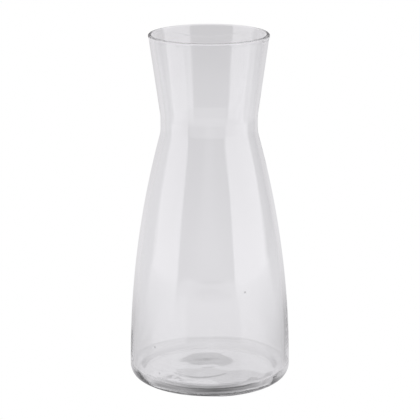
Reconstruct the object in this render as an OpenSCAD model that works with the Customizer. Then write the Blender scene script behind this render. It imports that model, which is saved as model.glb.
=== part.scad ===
// Clear glass table carafe, one litre to the throat.
// One piece of blown glass: a flat base with a rounded heel, a long tapering
// body, a waisted throat and a flared mouth with a fire-polished lip.
// Millimetres, +Z up, origin at the middle of the resting plane of the foot.

/* [Body] */
// Height from the resting plane to the top of the rim
height = 230; // [222:1:240]
// Outside diameter at the widest place, just above the heel
body_d = 105.5; // [103:0.5:108]
// Height of the widest place
widest_z = 8; // [7:0.2:9]
// Outside radius of the rounded heel
heel_r = 8.8; // [8:0.1:9.6]
// Radius of the long curve of the body, seen from the side
body_curve_r = 600; // [560:5:640]

/* [Throat] */
// Outside diameter at the throat, the narrowest place
throat_d = 63.2; // [61:0.2:66]
// Height of the straight band at the throat
throat_band = 6; // [4:0.5:9]
// Radius of the hollow curve below the throat
throat_r_below = 22; // [15:1:35]
// Radius of the hollow curve above the throat
throat_r_above = 26; // [15:1:40]

/* [Mouth] */
// Outside diameter of the rim, at its widest
mouth_d = 78.2; // [75:0.2:82]
// Radius of the outward turn just below the lip
lip_turn_r = 18; // [14:1:24]
// How far the lip turns outward from the flare, in degrees
lip_turn_a = 8; // [4:0.5:10]
// How far the round of the lip stands above the end of the wall
lip_h = 0.9; // [0.7:0.05:1.3]

/* [Glass] */
// Wall thickness of the body, throat and mouth
wall = 2.3; // [1.9:0.1:2.6]
// Wall thickness just above the base
wall_heel = 3.2; // [2.7:0.1:3.6]
// Height over which the wall thins from the heel to the body
wall_taper_h = 76; // [50:2:100]
// Height of the floor inside, at its edge
floor_edge = 3.9; // [3.3:0.1:5]
// Radius of the curve between the wall and the floor inside
floor_fillet_r = 7; // [5:0.5:8]
// How far the floor inside dips towards its middle
floor_dish = 0.12; // [0:0.02:0.3]

/* [Foot] */
// Width of the flat ring that the carafe stands on
foot_ring_w = 11.5; // [8:0.5:16]
// Height of the hollow under the base, at its middle
punt_h = 0.2; // [0.1:0.05:0.6]

/* [Hidden] */
$fn = 180;

// Radii at the key places
body_r = body_d / 2;
throat_r = throat_d / 2;
mouth_r = mouth_d / 2;
lip_r = wall / 2;

// The heel's round runs into the body's curve without a corner:
// the slope at which the two meet, in degrees, and the middle of the round
heel_a = asin((heel_r - widest_z) / (body_curve_r - heel_r));
heel_c = [body_r - body_curve_r + (body_curve_r - heel_r) * cos(heel_a), heel_r];

// The body's curve runs straight into the hollow curve of the throat:
// the slope at which the two meet, in degrees from upright
shoulder_a = acos(1 - (body_r - throat_r) / (body_curve_r + throat_r_below));

// Bottom and top of the straight band at the throat
band_z0 = widest_z + (body_curve_r + throat_r_below) * sin(shoulder_a);
band_z1 = band_z0 + throat_band;

// A flare that leans outward by the angle f: where it starts, where its lip
// turns, the middle of the lip's round and how wide the rim becomes
function lip_a(f) = f + lip_turn_a;
function flare_foot(f) = [throat_r + throat_r_above * (1 - cos(f)), band_z1 + throat_r_above * sin(f)];
function lip_mid_z(f) = height - norm([lip_h * cos(lip_a(f)), lip_r * sin(lip_a(f))]);
function flare_top_z(f) = lip_mid_z(f) - lip_r * sin(lip_a(f)) - lip_turn_r * (sin(lip_a(f)) - sin(f));
function flare_top_r(f) = flare_foot(f)[0] + (flare_top_z(f) - flare_foot(f)[1]) * tan(f);
function lip_mid_r(f) = flare_top_r(f) + lip_turn_r * (cos(f) - cos(lip_a(f))) - lip_r * cos(lip_a(f));
function rim_r(f) = lip_mid_r(f) + norm([lip_r * cos(lip_a(f)), lip_h * sin(lip_a(f))]);

// The lean at which the rim reaches the mouth's diameter, found by halving
function flare_lean(lo = 0, hi = 30, n = 40) =
    let (mid = (lo + hi) / 2)
    n == 0 ? mid
    : rim_r(mid) > mouth_r ? flare_lean(lo, mid, n - 1) : flare_lean(mid, hi, n - 1);
flare_a = flare_lean();

// Points of an arc about c from angle a0 to a1, each with its normal [nr, nz] away from the glass
function arc(c, r, a0, a1, n, out = 1) =
    [for (i = [0 : n]) let (a = a0 + (a1 - a0) * i / n)
        [c[0] + r * cos(a), c[1] + r * sin(a), out * cos(a), out * sin(a)]];
function rest(list) = [for (i = [1 : len(list) - 1]) list[i]];
function pts(list) = [for (p = list) [p[0], p[1]]];
function reversed(list) = [for (i = [len(list) - 1 : -1 : 0]) list[i]];

// The outside of the wall, from the top of the heel up to the lip;
// the straight flare lies between the throat's curve and the lip's turn
heel_line = arc(heel_c, heel_r, -90, heel_a, 16);
body_line = arc([body_r - body_curve_r, widest_z], body_curve_r, heel_a, shoulder_a, 36);
throat_low = arc([throat_r + throat_r_below, band_z0], throat_r_below, 180 + shoulder_a, 180, 10, -1);
throat_high = arc([throat_r + throat_r_above, band_z1], throat_r_above, 180, 180 - flare_a, 8, -1);
lip_turn_c = [flare_top_r(flare_a) + lip_turn_r * cos(flare_a), flare_top_z(flare_a) - lip_turn_r * sin(flare_a)];
lip_turn_line = arc(lip_turn_c, lip_turn_r, 180 - flare_a, 180 - lip_a(flare_a), 6, -1);
outside = concat(body_line, rest(throat_low), throat_high, lip_turn_line);

// Wall thickness at height z: thickest at the heel, even above the taper
function wall_at(z) = wall + (wall_heel - wall) * pow(max(0, 1 - z / wall_taper_h), 2);

// The inside of the wall: every outside point moved in by the wall's thickness
fillet_top = floor_edge + floor_fillet_r;
inside_all = [for (p = outside) let (w = wall_at(p[1])) [p[0] - w * p[2], p[1] - w * p[3]]];
inside_wall = [for (p = inside_all) if (p[1] > fillet_top + 0.5) p];

// The round corner between wall and floor, and the slightly dished floor
function body_r_at(z) = body_r - body_curve_r * (1 - sqrt(1 - pow((z - widest_z) / body_curve_r, 2)));
fillet_c = [body_r_at(fillet_top) - wall_at(fillet_top) - floor_fillet_r, fillet_top];
fillet_line = arc(fillet_c, floor_fillet_r, 0, -90, 16);
floor_line = [for (i = [0 : 12]) let (q = 1 - i / 12)
    [fillet_c[0] * q, floor_edge - floor_dish * pow(1 - q * q, 2)]];

// The lip: a flattened round across the end of the wall, from the outside to the inside
lip_mid = [lip_mid_r(flare_a), lip_mid_z(flare_a)];
lip_out = [cos(lip_a(flare_a)), -sin(lip_a(flare_a))];
lip_up = [sin(lip_a(flare_a)), cos(lip_a(flare_a))];
lip_line = [for (i = [1 : 15]) let (u = 180 * i / 16)
    lip_mid + lip_r * cos(u) * lip_out + lip_h * sin(u) * lip_up];

// The underside: a very shallow hollow inside the wide foot ring
foot_r1 = heel_c[0];
foot_r0 = foot_r1 - foot_ring_w;
punt_line = [for (i = [0 : 12]) let (q = i / 12) [foot_r0 * q, punt_h * pow(1 - q * q, 2)]];

// Half of the section through the glass: under the base, up the outside, over the lip and down the inside
module glass_section() {
    polygon(concat(
        punt_line,
        pts(heel_line), rest(pts(outside)),
        lip_line,
        reversed(inside_wall),
        pts(fillet_line), rest(floor_line)));
}

// The whole vessel: one continuous wall of clear glass
module carafe_glass() {
    color([0.90, 0.91, 0.92, 0.4])
    rotate_extrude()
    glass_section();
}

carafe_glass();
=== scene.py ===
import math

import bpy
import numpy as np
from mathutils import Matrix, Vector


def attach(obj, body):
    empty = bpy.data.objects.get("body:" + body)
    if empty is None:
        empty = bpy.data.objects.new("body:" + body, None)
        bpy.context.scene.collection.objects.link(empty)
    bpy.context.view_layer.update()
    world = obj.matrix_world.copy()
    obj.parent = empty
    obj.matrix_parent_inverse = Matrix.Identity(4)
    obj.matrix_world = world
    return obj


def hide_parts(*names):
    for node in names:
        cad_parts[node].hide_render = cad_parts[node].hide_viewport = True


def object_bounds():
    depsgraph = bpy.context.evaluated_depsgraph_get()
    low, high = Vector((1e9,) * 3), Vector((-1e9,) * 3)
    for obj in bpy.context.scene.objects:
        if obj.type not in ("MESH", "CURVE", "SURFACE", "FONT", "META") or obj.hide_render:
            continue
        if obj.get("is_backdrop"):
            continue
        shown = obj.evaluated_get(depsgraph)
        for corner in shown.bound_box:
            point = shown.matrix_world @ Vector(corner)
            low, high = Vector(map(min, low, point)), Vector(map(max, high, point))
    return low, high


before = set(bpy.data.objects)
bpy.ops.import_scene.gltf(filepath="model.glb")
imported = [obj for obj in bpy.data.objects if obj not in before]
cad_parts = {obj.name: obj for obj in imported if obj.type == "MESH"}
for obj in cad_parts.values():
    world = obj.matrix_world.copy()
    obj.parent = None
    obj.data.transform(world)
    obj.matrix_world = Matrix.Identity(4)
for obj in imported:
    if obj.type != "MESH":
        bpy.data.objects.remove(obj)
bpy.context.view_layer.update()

# ---------------------------------------------------------------- sizes, in millimetres, as in the CAD model
HEIGHT, BODY_R, HEEL_R, WIDEST_Z, BODY_CURVE = 230.0, 52.75, 8.8, 8.0, 600.0
THROAT_R, BAND, T_BELOW, T_ABOVE = 31.6, 6.0, 22.0, 26.0
MOUTH_R, LIP_TURN_R, LIP_TURN, LIP_H = 39.1, 18.0, 8.0, 0.9
WALL, WALL_HEEL, WALL_TAPER = 2.3, 3.2, 76.0
FLOOR_EDGE, FILLET_R, FLOOR_RISE = 3.9, 7.0, -0.12
FOOT_W, PUNT_H, PUNT_Q = 11.5, 0.2, 2.0
LIP_R = WALL / 2


def arc(c, r, a0, a1, n, out=1):
    """Points of an arc with their normals away from the glass: rows of r, z, nr, nz."""
    a = np.radians(np.linspace(a0, a1, n + 1))
    return np.stack([c[0] + r * np.cos(a), c[1] + r * np.sin(a), out * np.cos(a), out * np.sin(a)], 1)


def wall_at(z):
    return WALL + (WALL_HEEL - WALL) * np.maximum(0.0, 1 - z / WALL_TAPER) ** 2


def heel_end():
    """The middle of the heel's round, and the angle in degrees at which it runs into the body's curve."""
    a = math.asin((HEEL_R - WIDEST_Z) / (BODY_CURVE - HEEL_R))
    return (BODY_R - BODY_CURVE + (BODY_CURVE - HEEL_R) * math.cos(a), HEEL_R), math.degrees(a)


def outside():
    """The outside of the wall from the top of the heel to the lip, and the middle of the lip's round."""
    a = math.degrees(math.acos(1 - (BODY_R - THROAT_R) / (BODY_CURVE + T_BELOW)))
    z0 = WIDEST_Z + (BODY_CURVE + T_BELOW) * math.sin(math.radians(a))
    z1 = z0 + BAND
    turn = math.radians(LIP_TURN)

    def end(f):
        """Where a flare that leans by f ends: its foot, its top and the lip's middle."""
        foot = (THROAT_R + T_ABOVE * (1 - math.cos(f)), z1 + T_ABOVE * math.sin(f))
        t = f + turn
        mid_z = HEIGHT - math.hypot(LIP_H * math.cos(t), LIP_R * math.sin(t))
        top_z = mid_z - LIP_R * math.sin(t) - LIP_TURN_R * (math.sin(t) - math.sin(f))
        top_r = foot[0] + (top_z - foot[1]) * math.tan(f)
        mid_r = top_r + LIP_TURN_R * (math.cos(f) - math.cos(t)) - LIP_R * math.cos(t)
        return foot, (top_r, top_z), (mid_r, mid_z)

    lo, hi = 0.0, math.radians(30)
    for _ in range(50):
        f = (lo + hi) / 2
        lo, hi = (lo, f) if end(f)[2][0] + math.hypot(LIP_R * math.cos(f + turn), LIP_H * math.sin(f + turn)) > MOUTH_R else (f, hi)
    foot, top, mid = end(f)
    fd = math.degrees(f)
    band = np.array([[THROAT_R, z0 + BAND * k / 5, 1.0, 0.0] for k in range(1, 5)])
    up = 1 - (1 - np.arange(1, 16) / 16) ** 1.7
    cone = np.array([[foot[0] + (top[0] - foot[0]) * k, foot[1] + (top[1] - foot[1]) * k, math.cos(f), -math.sin(f)] for k in up])
    line = np.concatenate([
        arc((BODY_R - BODY_CURVE, WIDEST_Z), BODY_CURVE, heel_end()[1], a, 64),
        arc((THROAT_R + T_BELOW, z0), T_BELOW, 180 + a, 180, 14, -1)[1:],
        band,
        arc((THROAT_R + T_ABOVE, z1), T_ABOVE, 180, 180 - fd, 10, -1),
        cone,
        arc((top[0] + LIP_TURN_R * math.cos(f), top[1] - LIP_TURN_R * math.sin(f)), LIP_TURN_R, 180 - fd, 180 - fd - LIP_TURN, 8, -1),
    ])
    return line, mid, fd + LIP_TURN


def section():
    """The half section through the glass as one line, from under the base on the axis to the floor on the axis.

    Rows of r, z and how much the place belongs to the outside wall, the inside wall, the floor, the underside,
    the foot and the outside of the lip.
    """
    heel_c, heel_a = heel_end()
    foot1 = heel_c[0]
    foot0 = foot1 - FOOT_W
    pz = lambda r: PUNT_H * np.maximum(0, 1 - (r / foot0) ** 2) ** PUNT_Q
    ur = np.linspace(0, foot0, 44)
    under = np.stack([ur, pz(ur)], 1)
    ring = np.array([[r, 0.0] for r in np.linspace(foot0, foot1, 10)[1:-1]])
    heel = arc(heel_c, HEEL_R, -90, heel_a, 24)[:, :2]
    out, mid, lean = outside()
    w = wall_at(out[:, 1])[:, None]
    inner = out[:, :2] - w * out[:, 2:]
    top = FLOOR_EDGE + FILLET_R
    body_r = BODY_R - BODY_CURVE * (1 - math.sqrt(1 - ((top - WIDEST_Z) / BODY_CURVE) ** 2))
    fc = (body_r - float(wall_at(np.array(top))) - FILLET_R, top)
    fillet = arc(fc, FILLET_R, 0, -90, 26)[:, :2]
    fr = np.linspace(fc[0], 0, 56)
    floor = np.stack([fr, FLOOR_EDGE + FLOOR_RISE * np.maximum(0, 1 - (fr / fc[0]) ** 2) ** 2], 1)
    # the lip's top is a flat half ellipse across the wall
    u, lean = np.radians(np.linspace(0, 180, 29))[1:-1, None], math.radians(lean)
    lip = np.array(mid) + LIP_R * np.cos(u) * [math.cos(lean), -math.sin(lean)] + LIP_H * np.sin(u) * [math.sin(lean), math.cos(lean)]
    keep = inner[inner[:, 1] > top + 0.6][::-1]
    parts = [under, ring, heel, out[1:, :2], lip, keep, fillet, floor[1:]]
    line = np.concatenate(parts)
    zone = np.zeros((len(line), 6))
    ends = np.cumsum([len(p) for p in parts])
    near_lip = np.clip((HEIGHT - line[:, 1] - 2) / 25, 0, 1)
    zone[:ends[0], 3] = np.clip((foot0 - line[:ends[0], 0]) / 6, 0, 1)
    zone[ends[2]:ends[3], 0] = (np.clip((line[:, 1] - HEEL_R) / 20, 0, 1) * near_lip)[ends[2]:ends[3]]
    zone[ends[4]:ends[5], 1] = near_lip[ends[4]:ends[5]]
    turn = np.linspace(0, 1, len(fillet))
    zone[ends[5]:ends[6], 1], zone[ends[5]:ends[6], 2] = 1 - turn, turn
    zone[ends[6]:, 2] = 1
    zone[:ends[0], 4] = smooth((line[:ends[0], 0] - 20) / (foot0 - 20))
    zone[ends[0]:ends[2], 4] = smooth(1 - line[ends[0]:ends[2], 1] / HEEL_R)
    zone[ends[2]:ends[4], 5] = np.exp(-((HEIGHT - LIP_DROP_Z - line[ends[2]:ends[4], 1]) / LIP_DROP_W) ** 2 / 2)
    zone[ends[3]:ends[4], 5] *= np.linspace(1, 0, len(lip) + 2)[1:-1] ** 2
    return np.concatenate([line, zone], 1)


def smooth(t):
    t = np.clip(t, 0, 1)
    return t * t * (3 - 2 * t)


N = 224

# unevenness of blown glass, in millimetres: height, waves round the axis, radians per millimetre along it, phase
OUTER_WAVES = [(0.020, 2, 0.021, 0.9), (0.012, 5, -0.034, 2.1), (0.006, 9, 0.06, 4.4)]
INNER_WAVES = [(0.070, 3, 0.030, 0.4), (0.045, 5, -0.052, 1.7), (0.022, 9, 0.085, 3.9), (0.012, 14, -0.12, 5.2)]
# on the floor and under it: height, radians per millimetre in x and in y, phase
FLOOR_WAVES = [(0.006, 0.17, 0.20, 0.6), (0.004, -0.30, 0.17, 2.2)]
UNDER_WAVES = [(0.004, 0.14, -0.10, 1.1), (0.003, 0.27, 0.22, 3.0)]
# soft lumps on the floor: height, middle in x and y, half widths in x and y
FLOOR_LUMPS = [(-0.42, -4.0, 2.0, 9.5, 17.0), (-0.06, 8.0, -8.0, 5.0, 10.0), (0.04, -1.5, 3.0, 2.6, 1.1)]
# the round that the plunger left on the floor: height, middle in x and y, radius, width of its edge
DISC = (0.13, -6.0, 2.0, 20.5, 3.2)
# ripples in the round between wall and floor: height, degrees from the front, half width in degrees, waves per turn, phase
RIPPLES = [(0.12, 36.0, 8.0, 24.0, 0.3), (0.05, -40.0, 10.0, 18.0, 1.0)]

# where the foot stands off the table: degrees from the front, millimetres
LIFT = [(-180, 0.0), (-105, 0.0), (-75, 0.2), (-50, 0.5), (-4, 0.5), (16, 0.0), (180, 0.0)]
# thicker places in the lip: millimetres outward, degrees from the front, half width in degrees; and their height below the rim
LIP_DROPS = [(0.5, 67.0, 4.0), (0.3, 79.0, 4.0), (0.1, 92.0, 4.0), (0.1, -94.0, 5.0), (0.1, -80.0, 4.0)]
LIP_DROP_Z, LIP_DROP_W = 1.8, 0.9


def lift(front):
    """How far the foot stands off the table."""
    out = 0 * front
    for (a, h), (b, k) in zip(LIFT, LIFT[1:]):
        out = np.where((front >= a) & (front <= b), h + (k - h) * smooth((front - a) / (b - a)), out)
    return out


def uneven(zone, th, x, y, z):
    """How far the surface stands out along its normal."""
    wall = lambda waves: sum(h * np.sin(k * th + m * z + p) for h, k, m, p in waves)
    flat = lambda waves: sum(h * np.sin(kx * x + ky * y + p) for h, kx, ky, p in waves)
    lumps = sum(h * np.exp(-((x - cx) / wx) ** 2 / 2 - ((y - cy) / wy) ** 2 / 2) for h, cx, cy, wx, wy in FLOOR_LUMPS)
    h, cx, cy, rad, edge = DISC
    t = np.clip((rad - np.hypot(x - cx, y - cy)) / edge + 0.5, 0, 1)
    disc = h * t * t * (3 - 2 * t) * np.clip(0.5 - y / 24, 0, 1) * np.exp(-((x - cx) / 16) ** 4)
    front = np.degrees(np.arctan2(x, -y))
    ripples = sum(h * np.exp(-((front - c) / w) ** 2 / 2) * np.sin(k * np.radians(front) + p) for h, c, w, k, p in RIPPLES)
    corner = 4 * zone[:, 1:2] * zone[:, 2:3]
    drops = sum(h * np.exp(-((front - c) / w) ** 2 / 2) for h, c, w in LIP_DROPS)
    return (zone[:, :1] * (wall(OUTER_WAVES) - 0.03) + zone[:, 1:2] * wall(INNER_WAVES) + corner * ripples
            + zone[:, 2:3] * (flat(FLOOR_WAVES) + lumps + disc) + zone[:, 3:4] * flat(UNDER_WAVES)
            + zone[:, 5:] * drops)


def build_glass():
    rows = section()
    line, zone = rows[:, :2], rows[:, 2:]
    m = N
    th = (2 * math.pi * (np.arange(m) + 0.5) / m)[None]
    # normals of the section line point away from the glass
    d = np.gradient(line, axis=0)
    d /= np.maximum(np.hypot(d[:, 0], d[:, 1]), 1e-9)[:, None]
    nr, nz = d[:, 1:], -d[:, :1]
    r, z = line[:, :1] + 0 * th, line[:, 1:] + 0 * th
    off = uneven(zone, th, r * np.cos(th), r * np.sin(th), z)
    off[0], off[-1] = off[0].mean(), off[-1].mean()
    front = np.degrees(np.arctan2(np.cos(th), -np.sin(th)))
    r, z = r + off * nr, z + off * nz + zone[:, 4:5] * lift(front)
    r[0] = r[-1] = 0
    line = np.stack([r.mean(1), z.mean(1)], 1) * 0.001
    co = (np.stack([r * np.cos(th), r * np.sin(th), z], 2)[1:-1] * 0.001).reshape(-1, 3)
    rings = line[1:-1]
    verts = np.concatenate([[[0, 0, line[0, 1]]], co, [[0, 0, line[-1, 1]]]])
    k = len(rings)
    faces = []
    for j in range(m):
        faces.append((0, 1 + (j + 1) % m, 1 + j))
    for i in range(k - 1):
        a, b = 1 + i * m, 1 + (i + 1) * m
        for j in range(m):
            j2 = (j + 1) % m
            faces.append((a + j, a + j2, b + j2, b + j))
    last = 1 + (k - 1) * m
    for j in range(m):
        faces.append((last + j, last + (j + 1) % m, len(verts) - 1))
    me = bpy.data.meshes.new("carafe")
    me.from_pydata([tuple(v) for v in verts], [], faces)
    me.validate()
    me.update()
    me.polygons.foreach_set("use_smooth", np.ones(len(me.polygons), bool))
    ob = bpy.data.objects.new("carafe", me)
    bpy.context.scene.collection.objects.link(ob)
    return ob


# small grey seeds in the skin of the glass: middle in millimetres, radius
SEEDS = [(22.6, -44.0, 70.3, 1.2), (-35.5, -38.4, 31.6, 1.2), (-32.6, -41.4, 14.7, 1.0), (40.9, 24.4, 96.0, 1.0), (-18.0, 42.6, 112.0, 0.9)]

WEAR = 0.06


def glass_material():
    """Clear glass: a faint cloudiness in its tint, a few seeds in its skin and a fine wear on the ring that it stands on."""
    mat = bpy.data.materials.new("clear_glass")
    mat.use_nodes = True
    nt = mat.node_tree
    p = nt.nodes["Principled BSDF"]
    p.inputs["Transmission Weight"].default_value = 1.0
    p.inputs["IOR"].default_value = 1.5
    at = nt.nodes.new("ShaderNodeTexCoord").outputs["Object"]

    def map_range(value, from_min, from_max, to_min, to_max):
        n = nt.nodes.new("ShaderNodeMapRange")
        n.interpolation_type = "SMOOTHSTEP"
        nt.links.new(value, n.inputs["Value"])
        for key, v in (("From Min", from_min), ("From Max", from_max), ("To Min", to_min), ("To Max", to_max)):
            n.inputs[key].default_value = v
        return n.outputs[0]

    def together(op, a, b):
        n = nt.nodes.new("ShaderNodeMath")
        n.operation = op
        nt.links.new(a, n.inputs[0])
        nt.links.new(b, n.inputs[1])
        return n.outputs[0]

    def noise(scale, detail):
        n = nt.nodes.new("ShaderNodeTexNoise")
        n.inputs["Scale"].default_value, n.inputs["Detail"].default_value = scale, detail
        nt.links.new(at, n.inputs["Vector"])
        return n.outputs["Fac"]

    # tint
    tint = nt.nodes.new("ShaderNodeValToRGB")
    tint.color_ramp.elements[0].position, tint.color_ramp.elements[1].position = 0.3, 0.7
    tint.color_ramp.elements[0].color = (0.983, 0.987, 0.989, 1)
    tint.color_ramp.elements[1].color = (0.987, 0.989, 0.991, 1)
    nt.links.new(noise(22.0, 2.0), tint.inputs[0])
    # wear, only where the foot touches
    xyz = nt.nodes.new("ShaderNodeSeparateXYZ")
    nt.links.new(at, xyz.inputs[0])
    worn = together("MULTIPLY", map_range(xyz.outputs["Z"], 0.00002, 0.0001, 1.0, 0.0), map_range(noise(900.0, 4.0), 0.5, 0.75, 0.0, WEAR))
    nt.links.new(worn, p.inputs["Roughness"])
    # seeds
    seeds = None
    for x, y, z, r in SEEDS:
        n = nt.nodes.new("ShaderNodeVectorMath")
        n.operation = "DISTANCE"
        nt.links.new(at, n.inputs[0])
        n.inputs[1].default_value = (x * 0.001, y * 0.001, z * 0.001)
        spot = map_range(n.outputs["Value"], 0.0, r * 0.001, 1.0, 0.0)
        seeds = spot if seeds is None else together("ADD", seeds, spot)
    speck = nt.nodes.new("ShaderNodeMix")
    speck.data_type = "RGBA"
    nt.links.new(seeds, speck.inputs["Factor"])
    nt.links.new(tint.outputs[0], speck.inputs[6])
    speck.inputs[7].default_value = (0.32, 0.32, 0.33, 1)
    nt.links.new(speck.outputs[2], p.inputs["Base Color"])
    return mat


carafe = build_glass()
carafe.data.materials.append(glass_material())
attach(carafe, "root")
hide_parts("carafe_glass")

# ---------------------------------------------------------------- stage: a white cove behind and below, and the table that the glass mirrors
scene = bpy.context.scene
LED_FROM, LED_FAR, LED = 8, 100, 0.74
LIGHT_TINT = (1.002, 0.986, 1.012, 1)


def glow_material(name, value):
    mat = bpy.data.materials.new(name)
    mat.use_nodes = True
    p = mat.node_tree.nodes["Principled BSDF"]
    p.inputs["Base Color"].default_value = (0, 0, 0, 1)
    p.inputs["Specular IOR Level"].default_value = 0.0
    p.inputs["Emission Color"].default_value = (value, value, value, 1)
    p.inputs["Emission Strength"].default_value = 1.0
    return mat


def stage_mesh(name, verts, faces, mat):
    me = bpy.data.meshes.new(name)
    me.from_pydata(verts, [], faces)
    me.materials.append(mat)
    ob = bpy.data.objects.new(name, me)
    scene.collection.objects.link(ob)
    ob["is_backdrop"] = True
    return ob


def seen_by(ob, camera, rest):
    ob.visible_camera = camera
    ob.visible_diffuse = ob.visible_glossy = ob.visible_transmission = ob.visible_shadow = rest


# cove: a floor of 5 m radius that turns up into a wall
ring, rad = 64, [(0.0, -0.0004), (4.0, -0.0004), (4.6, 0.1), (5.0, 0.5), (5.0, 4.0), (0.0, 4.2)]
verts, faces = [], []
for r, z in rad:
    verts += [(r * math.cos(2 * math.pi * k / ring), r * math.sin(2 * math.pi * k / ring), z) for k in range(ring)]
for i in range(len(rad) - 1):
    for k in range(ring):
        faces.append((i * ring + k, i * ring + (k + 1) % ring, (i + 1) * ring + (k + 1) % ring, (i + 1) * ring + k))
cove = stage_mesh("cove", verts, faces, glow_material("cove_white", 1.0))
seen_by(cove, True, False)

def node(nt, kind, op=None, **values):
    n = nt.nodes.new(kind)
    if op:
        n.operation = op
    for k, v in values.items():
        n.inputs[k].default_value = v
    return n


def maths(nt, op, a, b=None):
    n = node(nt, "ShaderNodeMath", op)
    for i, v in enumerate((a, b)):
        if v is None:
            continue
        if isinstance(v, (int, float)):
            n.inputs[i].default_value = v
        else:
            nt.links.new(v, n.inputs[i])
    return n.outputs[0]


def ramp(nt, value, lo, hi, stops, name=""):
    """A grey level, at most 2, that follows value through the stops (value, level)."""
    mr = node(nt, "ShaderNodeMapRange")
    mr.inputs["From Min"].default_value, mr.inputs["From Max"].default_value = lo, hi
    nt.links.new(value, mr.inputs["Value"])
    cr = node(nt, "ShaderNodeValToRGB")
    cr.name = name or cr.name
    nt.links.new(mr.outputs[0], cr.inputs[0])
    el = cr.color_ramp.elements
    el.remove(el[-1])
    for i, (x, v) in enumerate(stops):
        at = (x - lo) / (hi - lo)
        if i == 0:
            el[0].position = at
            e = el[0]
        else:
            e = el.new(at)
        e.color = (v / 2, v / 2, v / 2, 1)
    return maths(nt, "MULTIPLY", cr.outputs[0], 2.0)


def blend(nt, factor, a, b):
    """a where factor is 0, b where it is 1."""
    n = node(nt, "ShaderNodeMix")
    nt.links.new(factor, n.inputs["Factor"])
    for key, v in (("A", a), ("B", b)):
        if isinstance(v, (int, float)):
            n.inputs[key].default_value = v
        else:
            nt.links.new(v, n.inputs[key])
    return n.outputs["Result"]


def by_path(nt, through, mirrored, led):
    """The light for paths that only went through the glass, that it mirrored a few times, that the base led along, and that the wall led far."""
    depth = node(nt, "ShaderNodeLightPath").outputs["Glossy Depth"]
    light = blend(nt, maths(nt, "GREATER_THAN", depth, 0.5), through, mirrored)
    for name, start, level in (("led", LED_FROM, led), ("led_far", LED_FAR, LED)):
        over = maths(nt, "GREATER_THAN", depth, start - 0.5)
        over.node.name = name + "_from"
        light = blend(nt, over, light, level)
        light.node.name = name + "_mix"
    return light


def degrees_round(nt, x, y):
    """The direction of x, y round the axis, in degrees: 0 to the front, 90 to +X."""
    return maths(nt, "MULTIPLY", maths(nt, "ARCTAN2", x, maths(nt, "MULTIPLY", y, -1.0)), 180 / math.pi)


def boxes(nt, az, back):
    """The soft boxes at the sides, the dim front and the pale back."""
    return ramp(nt, az, -180, 180, [
        (-180, back), (-168, back), (-158, 0.7), (-140, 0.75), (-104, 0.75), (-100, 1.6), (-51, 1.6), (-49, 0.06),
        (38, 0.06), (40, 1.6), (103, 1.6), (107, 0.42), (132, 0.42), (142, 0.7), (158, 0.7), (168, back), (180, back)])


# the table, seen only in and through the glass, is a glowing sheet with painted light and shade: pale, a little darker
# away from the carafe, with painted shade under it; its mirror image also has the painted glow of the soft boxes at its
# sides
table_mat = bpy.data.materials.new("table_painted_light_and_shade")
table_mat.use_nodes = True
nt = table_mat.node_tree
nt.nodes.remove(nt.nodes["Principled BSDF"])
glow = node(nt, "ShaderNodeEmission")
glow.inputs["Color"].default_value = LIGHT_TINT
nt.links.new(glow.outputs[0], nt.nodes["Material Output"].inputs["Surface"])
xyz = node(nt, "ShaderNodeSeparateXYZ")
nt.links.new(node(nt, "ShaderNodeTexCoord").outputs["Object"], xyz.inputs[0])
x, y = xyz.outputs["X"], xyz.outputs["Y"]
dist = maths(nt, "SQRT", maths(nt, "ADD", maths(nt, "MULTIPLY", x, x), maths(nt, "MULTIPLY", y, y)))
az = degrees_round(nt, x, y)
# painted shade under the carafe, a darker painted shadow edge just outside the foot, and painted light falling off away
# from it
open_table = ramp(nt, dist, 0.0, 1.6, [(0.0, 0.66), (0.030, 0.665), (0.040, 0.685), (0.060, 0.71), (0.0665, 0.715), (0.0695, 0.685), (0.073, 0.786), (0.3, 0.805), (0.55, 0.768), (0.97, 0.722), (1.16, 0.68), (1.6, 0.66)], "open_table")
# contact shade in three rings under the heel, from the foot outward, each stronger to the front
inner_ring = ramp(nt, dist, 0.0, 0.1, [(0.0, 0.0), (0.034, 0.0), (0.037, 1.0), (0.0438, 1.0), (0.0452, 0.0)], "inner_ring")
under_ring = ramp(nt, dist, 0.0, 0.1, [(0.0, 0.0), (0.0438, 0.0), (0.0452, 1.0), (0.0483, 1.0), (0.0497, 0.0)], "under_ring")
outer_ring = ramp(nt, dist, 0.0, 0.1, [(0.0, 0.0), (0.0483, 0.0), (0.0497, 1.0), (0.0525, 1.0), (0.054, 0.0)], "outer_ring")
inner_turn = ramp(nt, az, -180, 180, [
    (-180, 0.0), (-60, 0.0), (-45, 0.15), (-32, 0.35), (-20, 0.55), (4, 0.57), (14, 0.52), (24, 0.43), (36, 0.05), (48, 0.0), (180, 0.0)], "inner_turn")
under_turn = ramp(nt, az, -180, 180, [
    (-180, 0.0), (-60, 0.05), (-47, 0.6), (-32, 0.57), (-20, 0.57), (-8, 0.77), (4, 0.86), (14, 0.79), (24, 0.67), (36, 0.58), (48, 0.24), (62, 0.0), (180, 0.0)], "under_turn")
outer_turn = ramp(nt, az, -180, 180, [
    (-180, 0.0), (-80, 0.15), (-60, 0.1), (-45, 0.36), (-32, 0.54), (-20, 0.72), (-8, 0.93), (4, 0.95), (14, 0.88), (24, 0.84), (36, 0.68), (48, 0.12), (62, 0.05), (180, 0.0)], "outer_turn")
lit = lambda ring, turn: maths(nt, "SUBTRACT", 1.0, maths(nt, "MULTIPLY", ring, turn))
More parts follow.
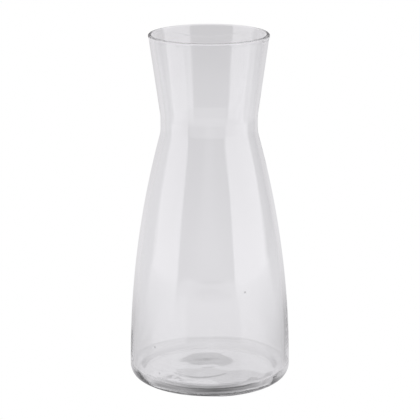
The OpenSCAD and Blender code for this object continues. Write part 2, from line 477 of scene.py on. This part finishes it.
# the soft shadows that the carafe throws to both sides behind it
side_reach = ramp(nt, dist, 0.0, 1.6, [(0.0, 0.0), (0.055, 0.0), (0.08, 1.0), (0.16, 1.0), (0.2, 0.72), (0.25, 0.45), (0.36, 0.18), (0.5, 0.05), (0.6, 0.0)], "side_reach")
side_at = maths(nt, "DIVIDE", x, maths(nt, "MAXIMUM", maths(nt, "ADD", y, 0.349), 0.01))
side_turn = ramp(nt, side_at, -0.4, 0.4, [
    (-0.4, 0.3), (-0.3, 0.3), (-0.215, 0.26), (-0.17, 0.18), (-0.143, 0.14), (-0.125, 0.1), (-0.1055, 0.04), (-0.085, 0.0),
    (0.085, 0.0), (0.1055, 0.04), (0.125, 0.09), (0.143, 0.16), (0.17, 0.25), (0.19, 0.32), (0.215, 0.38), (0.3, 0.42), (0.4, 0.42)], "side_turn")
side = lit(side_reach, side_turn)
straight = maths(nt, "MULTIPLY", maths(nt, "MULTIPLY", open_table, side), maths(nt, "MULTIPLY", lit(inner_ring, inner_turn), maths(nt, "MULTIPLY", lit(under_ring, under_turn), lit(outer_ring, outer_turn))))
far_side = ramp(nt, dist, 0.0, 1.6, [(0.0, 0.0), (0.25, 0.0), (1.0, 1.0)])
far_front = ramp(nt, dist, 0.0, 1.6, [(0.0, 0.0), (0.58, 0.0), (0.68, 0.3), (1.3, 0.45), (1.6, 0.5)])
near = ramp(nt, dist, 0.0, 1.6, [(0.0, 1.0), (0.06, 1.0), (0.09, 0.0)])
in_front = ramp(nt, maths(nt, "ABSOLUTE", az), 0, 180, [(0, 1.0), (38, 1.0), (50, 0.0)])
far = blend(nt, in_front, far_side, far_front)
nt.links.new(by_path(nt, straight, blend(nt, far, blend(nt, near, maths(nt, "MULTIPLY", side, 0.8), straight), boxes(nt, az, 0.7)), LED), glow.inputs["Strength"])
table = stage_mesh("table", [(-0.72, -1.25, -0.0003), (0.72, -1.25, -0.0003), (0.72, 1.6, -0.0003), (-0.72, 1.6, -0.0003)], [(0, 1, 2, 3)], table_mat)
seen_by(table, False, True)

BACK_TOP, BACK_DIM = 19.5, 0.02
ROOM_FROM, ROOM_DIM = 20.0, 0.02

# ---------------------------------------------------------------- light: soft boxes at both sides, a dim front
world = bpy.data.worlds.new("studio")
scene.world = world
world.use_nodes = True
nt = world.node_tree
xyz = node(nt, "ShaderNodeSeparateXYZ")
nt.links.new(node(nt, "ShaderNodeTexCoord").outputs["Generated"], xyz.inputs[0])
turn = degrees_round(nt, xyz.outputs["X"], xyz.outputs["Y"])


def above(nt, z, lo, hi):
    """0 below the elevation lo and 1 above hi, in degrees."""
    mr = node(nt, "ShaderNodeMapRange")
    mr.interpolation_type = "SMOOTHSTEP"
    mr.inputs["From Min"].default_value, mr.inputs["From Max"].default_value = math.sin(math.radians(lo)), math.sin(math.radians(hi))
    nt.links.new(z, mr.inputs["Value"])
    mr.name = "above_%g" % lo
    return mr.outputs[0]


# the pale back ends above the table, and the room over it is dimmer up to the ceiling
room = maths(nt, "MULTIPLY", above(nt, xyz.outputs["Z"], BACK_TOP - 0.15, BACK_TOP + 0.15), ramp(nt, maths(nt, "ABSOLUTE", turn), 0, 180, [(0, 0.0), (115, 0.0), (135, 1.0), (180, 1.0)]))
# just above the table the foot of the back is in shade
shade = maths(nt, "MULTIPLY", maths(nt, "SUBTRACT", above(nt, xyz.outputs["Z"], -3, -2), above(nt, xyz.outputs["Z"], 14, 18)), ramp(nt, maths(nt, "ABSOLUTE", turn), 0, 180, [(0, 0.0), (138, 0.0), (150, 1.0), (180, 1.0)]))
# it shows in the lip, which takes the light in and lets it out again
steps = node(nt, "ShaderNodeLightPath").outputs["Ray Depth"]
in_lip = maths(nt, "MULTIPLY", maths(nt, "GREATER_THAN", steps, 1.5), maths(nt, "LESS_THAN", steps, 4.5))
around = blend(nt, room, blend(nt, maths(nt, "MULTIPLY", shade, in_lip), boxes(nt, turn, 0.92), 0.02), BACK_DIM)
ceiling = above(nt, xyz.outputs["Z"], 26, 36)
through = blend(nt, maths(nt, "MULTIPLY", above(nt, xyz.outputs["Z"], ROOM_FROM, ROOM_FROM + 1.0), ramp(nt, maths(nt, "ABSOLUTE", turn), 0, 180, [(0, 1.0), (115, 1.0), (135, 1.0), (180, 1.0)], "room_turn")), 0.72, ROOM_DIM)
# light that the base led along: dim from higher up and from the back, and to the left from lower down too
high = maths(nt, "MULTIPLY", maths(nt, "ARCSINE", xyz.outputs["Z"]), 180 / math.pi)
led_el = ramp(nt, high, -90, 90, [(-90, 1.0), (26, 1.0), (34, 0.04), (90, 0.04)], "led_el_ramp")
led_low = ramp(nt, high, -90, 90, [(-90, 0.0), (8, 0.0), (14, 1.0), (90, 1.0)], "led_low_ramp")
led_turn = ramp(nt, turn, -180, 180, [(-180, 0.9), (-165, 0.7), (-150, 0.2), (-130, 0.12), (-110, 0.0), (80, 0.0), (95, 0.45), (110, 0.65), (130, 0.45), (145, 0.95), (180, 1.0)], "led_az_ramp")
led_back = ramp(nt, turn, -180, 180, [(-180, 0.1), (-165, 0.4), (-150, 0.7), (-130, 0.9), (-115, 1.0), (115, 1.0), (130, 0.88), (150, 0.5), (165, 0.12), (180, 0.1)], "led_back_ramp")
led = maths(nt, "MULTIPLY", maths(nt, "MULTIPLY", maths(nt, "MULTIPLY", led_el, LED), led_back), maths(nt, "SUBTRACT", 1.0, maths(nt, "MULTIPLY", led_low, led_turn)))
light = by_path(nt, through, blend(nt, ceiling, around, 0.9), led)
nt.links.new(light, nt.nodes["Background"].inputs["Strength"])
nt.nodes["Background"].inputs["Color"].default_value = LIGHT_TINT
scene.cycles.max_bounces = 400
scene.cycles.glossy_bounces = 400
scene.cycles.transmission_bounces = 400

# ---------------------------------------------------------------- camera
cam_data = bpy.data.cameras.new("camera")
cam_data.sensor_width = 36.0
cam_data.lens = 2022.0 / 420 * 36
cam = bpy.data.objects.new("camera", cam_data)
scene.collection.objects.link(cam)
cam.location = (0.0004, -1.2813, 0.4484)
cam.rotation_euler = (Matrix.Rotation(math.radians(90 - 14.66), 3, "X") @ Matrix.Rotation(math.radians(-0.167), 3, "Z")).to_euler()
scene.camera = cam
scene.view_settings.view_transform = "Standard"

bpy.context.view_layer.update()
low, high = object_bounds()
